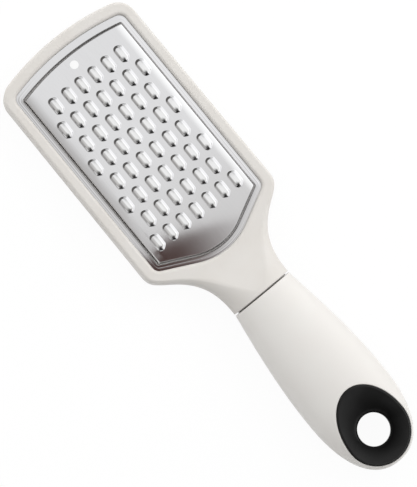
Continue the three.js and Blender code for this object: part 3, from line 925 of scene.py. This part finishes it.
def toothed_plate(material):
    bm = bmesh.new()
    bm.verts.layers.float.new(SHADE_ATTRIBUTE)
    centres = tooth_centres()
    step_and_flange(bm)
    fill_plateau(bm, centres)
    scoop = scoop_rows()
    scoop_marks = scoop_shades(scoop)
    dip = dipped_rows()
    dip_shades = dipped_shades()
    for centre in centres:
        shift = Vector((centre.x, centre.y, PLATEAU_Z))
        skin(bm, [[p + shift for p in row] for row in scoop], closed=True, shades=scoop_marks)
        skin(bm, [[p + shift for p in row] for row in dip], shades=dip_shades)
    weld(bm)
    loose = [vert for vert in bm.verts if not vert.link_faces]
    bmesh.ops.delete(bm, geom=loose, context="VERTS")
    crown(bm)
    up = sum(face.normal.z * face.calc_area() for face in bm.faces)
    if up < 0:
        bmesh.ops.reverse_faces(bm, faces=bm.faces[:])
    plate = add_piece("toothed_plate", bm, "grater_plate", material)
    thickness = plate.modifiers.new("sheet", "SOLIDIFY")
    thickness.thickness = SHEET
    thickness.offset = -1
    thickness.use_even_offset = True
    thickened = plate.evaluated_get(bpy.context.evaluated_depsgraph_get())
    sheet = bpy.data.meshes.new_from_object(thickened)
    plate.modifiers.clear()
    plate.data = sheet
    sheet.set_sharp_from_angle(angle=SHARP_ANGLE)
    return plate


# Handle shells


def handle_girth(y):
    """Half width and half thickness of the handle at a place along it."""
    if y >= BULGE_Y:
        swell = math.sin((HANDLE_TOP_Y - y) / (HANDLE_TOP_Y - BULGE_Y) * math.pi / 2)
        return mix(NECK_WIDTH, HANDLE_WIDTH, swell) / 2, mix(NECK_THICKNESS, HANDLE_THICKNESS, swell) / 2
    share = clamp((BULGE_Y - y) / HANDLE_END_LENGTH)
    taper = (1 - share**HANDLE_END_POWER) ** (1 / HANDLE_END_POWER)
    return taper * HANDLE_WIDTH / 2, taper * HANDLE_THICKNESS / 2


def handle_height(plan):
    """Height of the handle's surface above the middle plane."""
    half_width, half_thickness = handle_girth(plan.y)
    if half_width < WELD:
        return SEAM_HEIGHT
    share = clamp(abs(plan.x) / half_width)
    return SEAM_HEIGHT + max(half_thickness - SEAM_HEIGHT, 0) * math.sqrt(1 - share**2)


def seam_height(plan):
    """Height of the face that meets the other shell, with the slot for the tang sunk into it."""
    on_tang = abs(plan.x) < TANG_SLOT_HALF and plan.y > TANG_END_Y - FIT_GAP
    return TANG_THICKNESS / 2 + FIT_GAP if on_tang else SEAM_HEIGHT


def egg(grow, turn):
    """Point of the eyelet's outline, moved out by a distance."""
    length = EYELET_NOSE if math.sin(turn) > 0 else EYELET_END
    x = (EYELET_WIDTH / 2 + grow) * math.cos(turn)
    return Vector((x, EYELET_Y + (length + grow) * math.sin(turn)))


def lifted(facing, plan, height):
    return Vector((plan.x, plan.y, MIDDLE_Z + facing * height))


def grip_rows():
    """Plan points and heights of the grip, from the groove to the eyelet's end of the handle."""
    turns = spread(0, math.pi, HANDLE_COLUMNS)
    places = []
    for turn in spread(0, math.pi / 2, ROUND_STEPS):
        places.append((HANDLE_TOP_Y - END_ROUND * (1 - math.cos(turn)), END_ROUND * (1 - math.sin(turn))))
    for y in spread(HANDLE_TOP_Y - END_ROUND, SPLIT_Y, HANDLE_ROWS)[1:]:
        places.append((y, 0))
    rows = []
    for y, inset in places:
        half_width, half_thickness = handle_girth(y)
        rise = half_thickness - SEAM_HEIGHT - inset
        row = []
        for turn in turns:
            plan = Vector(((half_width - inset) * math.cos(turn), y))
            row.append((plan, SEAM_HEIGHT + rise * math.sin(turn)))
        rows.append(row)
    return rows


def end_outline():
    """Closed plan outline of the handle's end, starting along the line where the grip stops."""
    half_width = handle_girth(SPLIT_Y)[0]
    across = [Vector((half_width * math.cos(turn), SPLIT_Y)) for turn in spread(0, math.pi, HANDLE_COLUMNS)]
    ys = spread(SPLIT_Y, BULGE_Y, SPLIT_STEPS)[1:]
    ys += [BULGE_Y - HANDLE_END_LENGTH * math.sin(turn) for turn in spread(0, math.pi / 2, TIP_STEPS)[1:]]
    left = [Vector((-handle_girth(y)[0], y)) for y in ys]
    right = [Vector((-p.x, p.y)) for p in reversed(left[:-1])]
    return across + left + right


def egg_turn(point):
    """Turn of the eyelet's outline that faces a plan point."""
    offset = point.y - EYELET_Y
    length = EYELET_NOSE if offset > 0 else EYELET_END
    return math.atan2(offset / length, point.x / (EYELET_WIDTH / 2))


def between(inner, outer):
    """Plan rows from an inner outline to an outer one, closer together towards the outer."""
    rows = []
    for share in spread(0, 1, END_ROWS):
        along = 1 - (1 - share) ** END_ROW_POWER
        rows.append([a.lerp(b, along) for a, b in zip(inner, outer)])
    return rows


def handle_shell(name, node, facing, material):
    bm = bmesh.new()
    grip = grip_rows()
    skin(bm, [[lifted(facing, plan, height) for plan, height in row] for row in grip])
    skin(bm, [[lifted(facing, plan, seam_height(plan)) for plan, _ in row] for row in grip])
    first = grip[0]
    outer_end = [lifted(facing, plan, height) for plan, height in first]
    skin(bm, [outer_end, [lifted(facing, plan, seam_height(plan)) for plan, _ in first]])
    outline = end_outline()
    turns = [egg_turn(point) for point in outline]
    pocket = [egg(FIT_GAP, turn) for turn in turns]
    edge = [egg(FIT_GAP + POCKET_ROUND, turn) for turn in turns]
    surface = between(edge, outline)
    skin(bm, [[lifted(facing, p, handle_height(p)) for p in row] for row in surface], closed=True)
    seam = between(pocket, outline)
    skin(bm, [[lifted(facing, p, SEAM_HEIGHT) for p in row] for row in seam], closed=True)
    wall = []
    for turn in spread(0, math.pi / 2, ROUND_STEPS):
        grow = FIT_GAP + POCKET_ROUND * (1 - math.sin(turn))
        drop = POCKET_ROUND * (1 - math.cos(turn))
        ring = [(egg(grow, t), handle_height(p) - drop) for t, p in zip(turns, edge)]
        wall.append([lifted(facing, plan, height) for plan, height in ring])
    wall.append([lifted(facing, p, SEAM_HEIGHT) for p in pocket])
    skin(bm, wall, closed=True)
    weld(bm)
    return add_piece(name, bm, node, material)


# Eyelet


def eyelet_section(turn):
    """Plan points and heights of the eyelet's section on one side of the hole."""
    outer = egg(0, turn)
    top = handle_height(outer)
    points = [(egg(EYELET_FLARE, turn), SEAM_HEIGHT)]
    for lean in spread(0, math.pi / 2, ROUND_STEPS):
        inset = EYELET_ROUND * (1 - math.cos(lean))
        points.append((egg(-inset, turn), top - EYELET_ROUND * (1 - math.sin(lean))))
    rim = egg(-EYELET_RIM, turn)
    rim_height = handle_height(rim)
    land = HOLE_LAND / 2
    direction = Vector((math.cos(turn), math.sin(turn)))
    hole_centre = Vector((0, HOLE_Y))
    mouth = hole_centre + direction * (HOLE_DIAMETER / 2 + HOLE_ROUND)
    for share in spread(0, 1, DISH_STEPS):
        fall = 1 - (1 - share) ** DISH_POWER
        points.append((rim.lerp(mouth, share), mix(rim_height, land, fall)))
    for lean in spread(0, math.pi / 2, ROUND_STEPS)[1:]:
        radius = HOLE_DIAMETER / 2 + HOLE_ROUND * (1 - math.sin(lean))
        points.append((hole_centre + direction * radius, land - HOLE_ROUND * (1 - math.cos(lean))))
    points.append((hole_centre + direction * (HOLE_DIAMETER / 2), SEAM_HEIGHT))
    return points


def eyelet_shades():
    """Painted shade along the eyelet's section, darker down the dish."""
    edge = [0] * (ROUND_STEPS + 2)
    dish = [ease(share) for share in spread(0, 1, DISH_STEPS)]
    return edge + dish + [1] * (ROUND_STEPS + 1)


def eyelet_lining(name, node, facing, material):
    bm = bmesh.new()
    bm.verts.layers.float.new(SHADE_ATTRIBUTE)
    rows = []
    for i in range(EYELET_STEPS):
        section = eyelet_section(2 * math.pi * i / EYELET_STEPS)
        rows.append([lifted(facing, plan, height) for plan, height in section])
    rows.append(rows[0])
    skin(bm, rows, closed=True, shades=[eyelet_shades()] * len(rows))
    weld(bm)
    return add_piece(name, bm, node, material)


# Finishes


def new_material(name):
    """Material with its nodes and links."""
    material = bpy.data.materials.new(name)
    material.use_nodes = True
    return material, material.node_tree.nodes, material.node_tree.links


def smooth_range(nodes, links, value, low, high):
    """Node output that rises smoothly from 0 to 1 while a value goes from low to high."""
    node = nodes.new("ShaderNodeMapRange")
    node.interpolation_type = "SMOOTHSTEP"
    node.inputs["From Min"].default_value = low
    node.inputs["From Max"].default_value = high
    links.new(value, node.inputs["Value"])
    return node.outputs["Result"]


def noise(nodes, links, place, scale, detail):
    node = nodes.new("ShaderNodeTexNoise")
    node.inputs["Scale"].default_value = scale
    node.inputs["Detail"].default_value = detail
    links.new(place, node.inputs["Vector"])
    return node


def multiplied(nodes, links, first, second):
    node = nodes.new("ShaderNodeMath")
    node.operation = "MULTIPLY"
    links.new(first, node.inputs[0])
    links.new(second, node.inputs[1])
    return node.outputs[0]


def blend_colours(nodes, links, share, first, second):
    """Colour between two, of which the first may be another node's output."""
    node = nodes.new("ShaderNodeMix")
    node.data_type = "RGBA"
    if isinstance(first, tuple):
        node.inputs["A"].default_value = (*first, 1)
    else:
        links.new(first, node.inputs["A"])
    node.inputs["B"].default_value = (*second, 1)
    links.new(share, node.inputs["Factor"])
    return node.outputs["Result"]


def blend_values(nodes, links, share, first, second):
    node = nodes.new("ShaderNodeMapRange")
    node.inputs["To Min"].default_value = first
    node.inputs["To Max"].default_value = second
    links.new(share, node.inputs["Value"])
    return node.outputs["Result"]


def bumped(nodes, links, height, depth):
    """Bump normal of a height."""
    bump = nodes.new("ShaderNodeBump")
    bump.inputs["Strength"].default_value = 1
    bump.inputs["Distance"].default_value = depth
    links.new(height, bump.inputs["Height"])
    return bump.outputs["Normal"]


def new_group(name, kind, inputs, outputs):
    """Node group with named inputs and outputs of one kind, and the nodes at its two ends."""
    group = bpy.data.node_groups.new(name, "ShaderNodeTree")
    for socket in inputs:
        group.interface.new_socket(socket, in_out="INPUT", socket_type=kind)
    for socket in outputs:
        group.interface.new_socket(socket, in_out="OUTPUT", socket_type=kind)
    return group, group.nodes.new("NodeGroupInput"), group.nodes.new("NodeGroupOutput")


def moulded_grain():
    """Fine grain and a slow mottle, shared by the moulded pieces."""
    inputs = ("Grain Scale", "Mottle Scale")
    group, given, result = new_group("moulded_grain", "NodeSocketFloat", inputs, ("Grain", "Mottle"))
    nodes = group.nodes
    links = group.links
    place = nodes.new("ShaderNodeTexCoord").outputs["Object"]
    grain = noise(nodes, links, place, 1, GRAIN_DETAIL)
    links.new(given.outputs["Grain Scale"], grain.inputs["Scale"])
    mottle = noise(nodes, links, place, 1, MOTTLE_DETAIL)
    links.new(given.outputs["Mottle Scale"], mottle.inputs["Scale"])
    links.new(grain.outputs["Fac"], result.inputs["Grain"])
    links.new(smooth_range(nodes, links, mottle.outputs["Fac"], *MOTTLE_RANGE), result.inputs["Mottle"])
    return group


def painted_shade_colour():
    """Paints shade: turns a plain colour to a dark one where the mesh is marked."""
    group, given, result = new_group("painted_shade_colour", "NodeSocketColor", ("Plain", "Deep"), ("Colour",))
    mark = group.nodes.new("ShaderNodeAttribute")
    mark.attribute_name = SHADE_ATTRIBUTE
    blend = group.nodes.new("ShaderNodeMix")
    blend.data_type = "RGBA"
    group.links.new(mark.outputs["Fac"], blend.inputs["Factor"])
    group.links.new(given.outputs["Plain"], blend.inputs["A"])
    group.links.new(given.outputs["Deep"], blend.inputs["B"])
    group.links.new(blend.outputs["Result"], result.inputs["Colour"])
    return group


def moulded_finish(name, group, pale, deep, roughness, grain_scale, mottle_scale, grain_depth):
    """Moulded plastic or rubber with a fine matt grain."""
    material, nodes, links = new_material(name)
    shader = nodes["Principled BSDF"]
    grain = nodes.new("ShaderNodeGroup")
    grain.node_tree = group
    grain.inputs["Grain Scale"].default_value = grain_scale
    grain.inputs["Mottle Scale"].default_value = mottle_scale
    mottle = grain.outputs["Mottle"]
    links.new(blend_colours(nodes, links, mottle, pale, deep), shader.inputs["Base Color"])
    links.new(blend_values(nodes, links, mottle, *roughness), shader.inputs["Roughness"])
    links.new(bumped(nodes, links, grain.outputs["Grain"], grain_depth), shader.inputs["Normal"])
    return material


def paint_shade(material, group, colour):
    """Puts the painted shade colour between a finish and its shader."""
    nodes = material.node_tree.nodes
    links = material.node_tree.links
    base = nodes["Principled BSDF"].inputs["Base Color"]
    plain = base.links[0].from_socket
    painted_shade_group = nodes.new("ShaderNodeGroup")
    painted_shade_group.node_tree = group
    painted_shade_group.inputs["Deep"].default_value = (*colour, 1)
    links.new(plain, painted_shade_group.inputs["Plain"])
    links.new(painted_shade_group.outputs["Colour"], base)


def rolled_steel():
    """Bright sheet with fine lines along the grater from rolling, a painted highlight on its raised metal
    and a painted reflection along its right edge.
    """
    material, nodes, links = new_material("rolled_steel")
    shader = nodes["Principled BSDF"]
    shader.inputs["Metallic"].default_value = 1
    place = nodes.new("ShaderNodeTexCoord").outputs["Object"]
    stretch = nodes.new("ShaderNodeMapping")
    stretch.inputs["Scale"].default_value = ROLLING_STRETCH
    links.new(place, stretch.inputs["Vector"])
    lines = noise(nodes, links, stretch.outputs["Vector"], 1, GRAIN_DETAIL).outputs["Fac"]
    clouds = noise(nodes, links, place, CLOUD_SCALE, MOTTLE_DETAIL).outputs["Fac"]
    split = nodes.new("ShaderNodeSeparateXYZ")
    links.new(place, split.inputs[0])
    # Painted highlight: metal raised above the sheet is made paler
    high = (PLATEAU_Z + RAISED_HIGHLIGHT_FROM, PLATEAU_Z + RAISED_HIGHLIGHT_FULL)
    raised_highlight = smooth_range(nodes, links, split.outputs["Z"], *high)
    # Painted reflection: the sheet is paler near its right edge
    edge = WINDOW_HALF - FLANGE_STRIP
    across = (edge - EDGE_REFLECTION_FROM, edge - EDGE_REFLECTION_FULL)
    level = (PLATEAU_Z - 2 * EDGE_ROLL, PLATEAU_Z - EDGE_ROLL)
    beside = smooth_range(nodes, links, split.outputs["X"], *across)
    strip = multiplied(nodes, links, beside, smooth_range(nodes, links, split.outputs["Z"], *level))
    colour = blend_colours(nodes, links, lines, STEEL_PALE, STEEL_DEEP)
    colour = blend_colours(nodes, links, raised_highlight, colour, RAISED_HIGHLIGHT)
    colour = blend_colours(nodes, links, strip, colour, EDGE_REFLECTION)
    links.new(colour, shader.inputs["Base Color"])
    links.new(blend_values(nodes, links, clouds, *STEEL_ROUGHNESS), shader.inputs["Roughness"])
    links.new(bumped(nodes, links, lines, ROLLING_DEPTH), shader.inputs["Normal"])
    return material


# Camera, stage and light


def add_camera():
    across = Vector((math.cos(VIEW_TILT), 0, math.sin(VIEW_TILT)))
    along = Vector((0, 1, 0))
    back = Vector((-math.sin(VIEW_TILT), 0, math.cos(VIEW_TILT)))
    right = across * math.cos(VIEW_TURN) - along * math.sin(VIEW_TURN)
    up = along * math.cos(VIEW_TURN) + across * math.sin(VIEW_TURN)
    data = bpy.data.cameras.new("camera")
    data.lens = LENS
    data.sensor_width = SENSOR
    data.clip_end = VIEW_END
    camera = add_object("camera", data)
    place = VIEW_TARGET + back * (PICTURE_ROWS * PIXEL * LENS / SENSOR)
    turn = Matrix((right, up, back)).transposed().to_4x4()
    camera.matrix_world = Matrix.Translation(place) @ turn
    bpy.context.scene.camera = camera


def add_softbox(name, place, size, radiance):
    """Lamp aimed at the grater. Reflections show the white room and the cards instead of it."""
    width, height = size
    data = bpy.data.lights.new(name, "AREA")
    data.shape = "RECTANGLE"
    data.size = width
    data.size_y = height
    data.energy = radiance * math.pi * width * height
    lamp = add_object(name, data)
    direction = (Vector((0, 0, MIDDLE_Z)) - place).normalized()
    lamp.matrix_world = Matrix.Translation(place) @ direction.to_track_quat("-Z", "Y").to_matrix().to_4x4()
    lamp.visible_glossy = False


def shows_background(nodes, links):
    """1 for the rays that show the background: the camera's, and those in metal or glass."""
    path = nodes.new("ShaderNodeLightPath")
    shown = path.outputs["Is Camera Ray"]
    for ray in ("Is Glossy Ray", "Is Transmission Ray"):
        either = nodes.new("ShaderNodeMath")
        either.operation = "MAXIMUM"
        links.new(shown, either.inputs[0])
        links.new(path.outputs[ray], either.inputs[1])
        shown = either.outputs[0]
    return shown


def show_mix(nodes, links, share, first, second):
    """Sends a mix of two shaders to a material's output."""
    blend = nodes.new("ShaderNodeMixShader")
    output = nodes.new("ShaderNodeOutputMaterial")
    links.new(share, blend.inputs[0])
    links.new(first.outputs[0], blend.inputs[1])
    links.new(second.outputs[0], blend.inputs[2])
    links.new(blend.outputs[0], output.inputs["Surface"])


def add_floor():
    """Pale floor under the handle's widest place and the back of the head, which keeps the shadow."""
    mesh = bpy.data.meshes.new("floor")
    rise = BACK_Z / (HEAD_TOP_Y - BULGE_Y)
    corners = [(-STAGE_REACH, -STAGE_REACH), (STAGE_REACH, -STAGE_REACH)]
    corners += [(-x, -y) for x, y in corners]
    mesh.from_pydata([(x, y, (y - BULGE_Y) * rise) for x, y in corners], [], [(0, 1, 2, 3)])
    floor = add_object("floor", mesh)
    material, nodes, links = new_material("floor_white")
    nodes.clear()
    diffuse = nodes.new("ShaderNodeBsdfDiffuse")
    diffuse.inputs["Color"].default_value = (*FLOOR_COLOUR, 1)
    share = blend_values(nodes, links, shows_background(nodes, links), 0, FLOOR_WHITE_SHARE)
    show_mix(nodes, links, share, diffuse, nodes.new("ShaderNodeEmission"))
    mesh.materials.append(material)


def add_world():
    """White where the background shows, and an even grey for the soft light."""
    world = bpy.data.worlds.new("studio")
    bpy.context.scene.world = world
    world.use_nodes = True
    nodes = world.node_tree.nodes
    links = world.node_tree.links
    shown = shows_background(nodes, links)
    links.new(blend_colours(nodes, links, shown, ROOM_FILL, WHITE), nodes["Background"].inputs["Color"])


def add_flag(name, corner, slant, reach, colours, far, fade):
    """Card that only reflections see, which lies left of and below its corner.

    Its two edges at that corner clear over the fade, and its first colour turns to the second over far.
    """
    mesh = bpy.data.meshes.new(name)
    width, height = reach
    corners = [(-width, -height, 0), (0, -height, 0), (0, 0, 0), (-width, 0, 0)]
    mesh.from_pydata(corners, [], [(0, 1, 2, 3)])
    card = add_object(name, mesh)
    card.matrix_world = Matrix.Translation(corner) @ Matrix.Rotation(slant, 4, "Z")
    material, nodes, links = new_material(name)
    nodes.clear()
    place = nodes.new("ShaderNodeTexCoord")
    split = nodes.new("ShaderNodeSeparateXYZ")
    links.new(place.outputs["Object"], split.inputs[0])
    glow = nodes.new("ShaderNodeEmission")
    away = smooth_range(nodes, links, split.outputs["Y"], *far)
    links.new(blend_colours(nodes, links, away, *colours), glow.inputs["Color"])
    beside = smooth_range(nodes, links, split.outputs["X"], 0, -fade[0])
    below = smooth_range(nodes, links, split.outputs["Y"], 0, -fade[1])
    cover = multiplied(nodes, links, beside, below)
    show_mix(nodes, links, cover, nodes.new("ShaderNodeBsdfTransparent"), glow)
    mesh.materials.append(material)
    card.visible_camera = False
    card.visible_diffuse = False
    card.visible_shadow = False
    card.visible_transmission = False


# The grater

grain = moulded_grain()
painted_shade_group = painted_shade_colour()
frame_plastic = moulded_finish(
    "frame_plastic",
    grain,
    pale=(0.615, 0.593, 0.563),
    deep=(0.6, 0.575, 0.542),
    roughness=(0.45, 0.55),
    grain_scale=2600,
    mottle_scale=60,
    grain_depth=0.01 * MM,
)
handle_plastic = moulded_finish(
    "handle_plastic",
    grain,
    pale=(0.66, 0.645, 0.618),
    deep=(0.65, 0.63, 0.603),
    roughness=(0.36, 0.44),
    grain_scale=2200,
    mottle_scale=45,
    grain_depth=0.006 * MM,
)
eyelet_rubber = moulded_finish(
    "eyelet_rubber",
    grain,
    pale=(0.013, 0.013, 0.013),
    deep=(0.016, 0.016, 0.016),
    roughness=(0.4, 0.5),
    grain_scale=1800,
    mottle_scale=120,
    grain_depth=0.012 * MM,
)
eyelet_rubber.node_tree.nodes["Principled BSDF"].inputs["Specular IOR Level"].default_value = RUBBER_GLOSS
plate_steel = rolled_steel()
# Painted shade in the groove, down the eyelet's dish and in the sheet's folds
paint_shade(frame_plastic, painted_shade_group, GROOVE_SHADE_COLOUR)
paint_shade(eyelet_rubber, painted_shade_group, DISH_SHADE_COLOUR)
paint_shade(plate_steel, painted_shade_group, STEEL_SHADE_COLOUR)

moulded_frame(frame_plastic)
retainer_ring(frame_plastic)
toothed_plate(plate_steel)
handle_shell("handle_shell_front", "handle_front", 1, handle_plastic)
handle_shell("handle_shell_back", "handle_back", -1, handle_plastic)
eyelet_lining("eyelet_lining_front", "eyelet_front", 1, eyelet_rubber)
eyelet_lining("eyelet_lining_back", "eyelet_back", -1, eyelet_rubber)

# The studio

bpy.context.scene.view_settings.view_transform = "Standard"
add_camera()
add_floor()
add_world()
add_softbox("overhead", place=Vector((0, 0, 0.75)), size=(1.6, 1.6), radiance=0.6)
add_softbox("key", place=Vector((0.85, -0.12, 0.45)), size=(1.0, 0.7), radiance=2.75)
add_softbox("top_lamp", place=Vector((-0.1, 0.9, 0.32)), size=(1.0, 0.6), radiance=2.6)
add_flag(
    "brown_flag",
    corner=Vector((0.121, -0.001, 0.585)),
    slant=math.radians(-22.5),
    reach=(0.1, 0.9),
    colours=(CARD_BROWN, CARD_WARM_GREY),
    far=(-0.03, -0.1),
    fade=(0.07, 0.006),
)
add_flag(
    "brown_end_flag",
    corner=Vector((0.035, 0.027, 0.584)),
    slant=0,
    reach=(0.12, 0.9),
    colours=(CARD_BROWN, CARD_WARM_GREY),
    far=(-0.05, -0.12),
    fade=(0.01, 0.006),
)
add_flag(
    "low_flag",
    corner=Vector((0.25, 0.1, 0.6)),
    slant=0,
    reach=(6, 6),
    colours=(CARD_PALE_GREY, CARD_DARK),
    far=(-0.25, -0.35),
    fade=(0.1, 0.13),
)
add_flag(
    "top_flag",
    corner=Vector((1, 0.36, 0.6)),
    slant=-math.pi / 2,
    reach=(6, 6),
    colours=(CARD_DARK, CARD_DARK),
    far=(-0.06, -0.16),
    fade=(0.06, 0.25),
)
add_flag(
    "grey_flag",
    corner=Vector((0.06, -6, 0.61)),
    slant=-math.pi / 2,
    reach=(12, 6),
    colours=(CARD_GREY, CARD_FAR_GREY),
    far=(-0.24, -0.4),
    fade=(0.02, 0.07),
)
add_flag(
    "side_flag",
    corner=Vector((0.07, 0.25, 0.3)),
    slant=math.pi / 2,
    reach=(4, 4),
    colours=(CARD_WHITE, CARD_WHITE),
    far=(-0.1, -0.2),
    fade=(0.06, 0.07),
)
